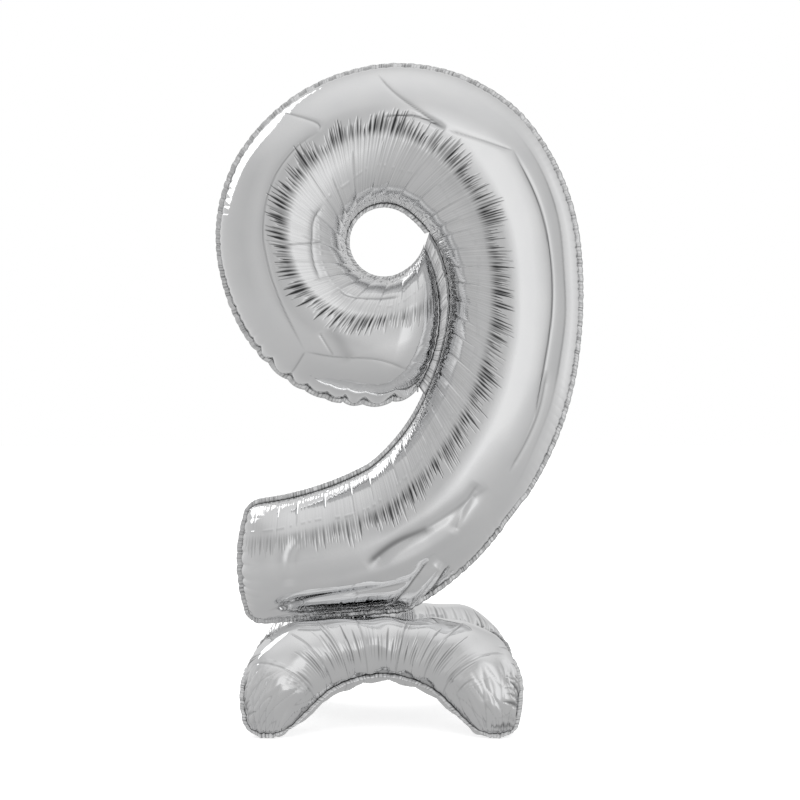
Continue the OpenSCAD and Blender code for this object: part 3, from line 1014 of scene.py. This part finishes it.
own(front_film, "number", ["number_front_film"], silver)
own(rear_film, "number", ["number_rear_film"], silver)
own(edge_flange, "number", ["number_edge_weld"], sealed)
own(hole_flange, "number", ["hole_edge_weld"], sealed)
own(slit_flange, "number", ["bowl_end_weld"], sealed)
own(left_web, "number", ["join_web_left"], sealed)
own(right_web, "number", ["join_web_right"], sealed)
own(crest, "rear_foot", ["crest_weld"], sealed)
for side in ("front", "rear"):
    foot_name = side + "_foot"
    for face in ("outer", "inner"):
        panel = feet[f"{foot_name}_{face}_panel"]
        own(panel, foot_name, [f"{foot_name}_{face}_film"], silver)
    own(feet[foot_name + "_flange"], foot_name, [foot_name + "_edge_weld"], sealed)
for valve in ("number_valve_front", "number_valve_rear", "base_valve_outer", "base_valve_inner"):
    dress(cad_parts[valve + "_film"], valve_mat)
for tab in ("number_fill_tab", "base_fill_tab"):
    dress(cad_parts[tab], tab_mat)


# ---------------------------------------------------------------- floor, light and camera
def math_node(nodes, links, op, a, b=None):
    m = nodes.new("ShaderNodeMath")
    m.operation = op
    for i, x in enumerate((a, b)):
        if isinstance(x, (int, float)):
            m.inputs[i].default_value = x
        elif x is not None:
            links.new(x, m.inputs[i])
    return m.outputs[0]


def grey_ramp(nodes, links, value, stops):
    """Grey levels against a value, given as (value, level) pairs."""
    low, high = stops[0][0], stops[-1][0]
    r = nodes.new("ShaderNodeValToRGB")
    links.new(ramp(nodes, links, value, low, high), r.inputs["Fac"])
    marks = r.color_ramp.elements
    marks[0].position, marks[1].position = 0, 1
    for at, level in stops[1:-1]:
        marks.new((at - low) / (high - low)).color = (level, level, level, 1)
    for mark, (_, level) in ((marks[0], stops[0]), (marks[-1], stops[-1])):
        mark.color = (level, level, level, 1)
    return r.outputs["Color"]


# Brightness of the studio's walls against the angle round from the camera's side, in degrees.
WALLS = [
    (-180, 0.72), (-150, 0.7), (-128, 0.6), (-100, 0.55), (-70, 0.52), (-46, 0.56), (-20, 0.5),
    (-6, 0.54), (3, 0.72), (10, 0.88), (30, 0.84), (52, 0.64), (70, 0.56), (84, 0.52), (88, 0.34), (92, 0.66),
    (112, 0.82), (135, 0.7), (155, 0.6), (180, 0.72),
]


def walls(nodes, links, x, y):
    angle = math_node(nodes, links, "ARCTAN2", x, math_node(nodes, links, "MULTIPLY", y, -1.0))
    return grey_ramp(nodes, links, angle, [(math.radians(d), v) for d, v in WALLS])


def mix_by(nodes, links, fac, a, b):
    """Mix of two colours that both come from nodes."""
    m = nodes.new("ShaderNodeMix")
    m.data_type = "RGBA"
    links.new(fac, m.inputs["Factor"])
    links.new(a, m.inputs["A"])
    links.new(b, m.inputs["B"])
    return m.outputs["Result"]


def floor():
    """A pale floor that the foil sees as the walls of the room, further out."""
    n, half = 48, 9000
    x = np.linspace(-half, half, n)
    px, py = np.meshgrid(x, x, indexing="ij")
    pts = np.stack([px, py, 0 * px - 0.05], -1).reshape(-1, 3)
    obj = make_mesh("studio_floor", pts, grid_quads(n, n))
    mat, nodes, links, b = material("pale_floor", (0.9, 0.9, 0.9), 0.0, 0.8)
    b.inputs["Specular IOR Level"].default_value = 0.0
    b.inputs["Emission Color"].default_value = (1, 1, 1, 1)
    b.inputs["Emission Strength"].default_value = 0.62
    far = nodes.new("ShaderNodeEmission")
    where = nodes.new("ShaderNodeSeparateXYZ")
    links.new(nodes.new("ShaderNodeTexCoord").outputs["Object"], where.inputs[0])
    x, y = where.outputs["X"], where.outputs["Y"]
    squares = [math_node(nodes, links, "MULTIPLY", v, v) for v in (x, y)]
    reach = math_node(nodes, links, "SQRT", math_node(nodes, links, "ADD", *squares))
    close = grey_ramp(nodes, links, reach, [(0, 0.44), (0.5, 0.52), (1.5, 0.58), (9, 0.58)])
    away = grey_ramp(nodes, links, reach, [(0, 0.0), (0.4, 0.0), (2.5, 1.0), (9, 1.0)])
    links.new(mix_by(nodes, links, away, close, walls(nodes, links, x, y)), far.inputs["Color"])
    path = nodes.new("ShaderNodeLightPath")
    mixer = nodes.new("ShaderNodeMixShader")
    links.new(path.outputs["Is Camera Ray"], mixer.inputs["Fac"])
    links.new(far.outputs["Emission"], mixer.inputs[1])
    links.new(b.outputs["BSDF"], mixer.inputs[2])
    links.new(mixer.outputs["Shader"], nodes["Material Output"].inputs["Surface"])
    dress(obj, mat)


floor()


def area(name, where, size, power, target=(0, 0, 0.36), glossy=True):
    data = bpy.data.lights.new(name, "AREA")
    data.shape = "RECTANGLE"
    data.size, data.size_y = size
    data.energy = power
    obj = bpy.data.objects.new(name, data)
    obj.location = where
    obj.rotation_euler = (Vector(target) - Vector(where)).to_track_quat("-Z", "Y").to_euler()
    obj.visible_camera = False
    obj.visible_glossy = glossy
    bpy.context.scene.collection.objects.link(obj)


area("softbox_top", (0.0, -0.2, 3.2), (3.0, 3.0), 26, glossy=False)
area("softbox_rear_left", (-2.5, 2.0, 2.6), (2.3, 2.3), 19)


def studio_world():
    """White to the camera, and a grey room with soft walls to the foil."""
    world = bpy.data.worlds.new("studio")
    bpy.context.scene.world = world
    world.use_nodes = True
    nodes, links = world.node_tree.nodes, world.node_tree.links
    way = nodes.new("ShaderNodeSeparateXYZ")
    links.new(nodes.new("ShaderNodeTexCoord").outputs["Generated"], way.inputs[0])
    up = way.outputs["Z"]
    round_room = walls(nodes, links, way.outputs["X"], way.outputs["Y"])
    by_height = grey_ramp(nodes, links, up, [
        (-1, 0.36), (-0.4, 0.44), (-0.05, 0.54), (0.35, 0.58), (0.6, 0.62), (0.85, 0.72), (1, 0.8)])
    beside = grey_ramp(nodes, links, up, [
        (-1, 0.0), (-0.5, 0.25), (-0.2, 1.0), (0.45, 1.0), (0.7, 0.1), (1, 0.0)])
    room = nodes["Background"]
    links.new(mix_by(nodes, links, beside, by_height, round_room), room.inputs["Color"])
    plain = nodes.new("ShaderNodeBackground")
    plain.inputs["Color"].default_value = (1, 1, 1, 1)
    path = nodes.new("ShaderNodeLightPath")
    mixer = nodes.new("ShaderNodeMixShader")
    links.new(path.outputs["Is Camera Ray"], mixer.inputs["Fac"])
    links.new(room.outputs["Background"], mixer.inputs[1])
    links.new(plain.outputs["Background"], mixer.inputs[2])
    links.new(mixer.outputs["Shader"], nodes["World Output"].inputs["Surface"])


studio_world()
bpy.context.scene.view_settings.view_transform = "Standard"

camera = bpy.data.cameras.new("camera")
camera.sensor_width = 36
camera.lens = 36 * EYE_DISTANCE / SEEN_WIDTH
camera.clip_end = 60
eye = bpy.data.objects.new("camera", camera)
eye.location = (-0.0006, -EYE_DISTANCE * MM, EYE_Z * MM)
eye.rotation_euler = (math.pi / 2, 0, 0)
bpy.context.scene.collection.objects.link(eye)
bpy.context.scene.camera = eye
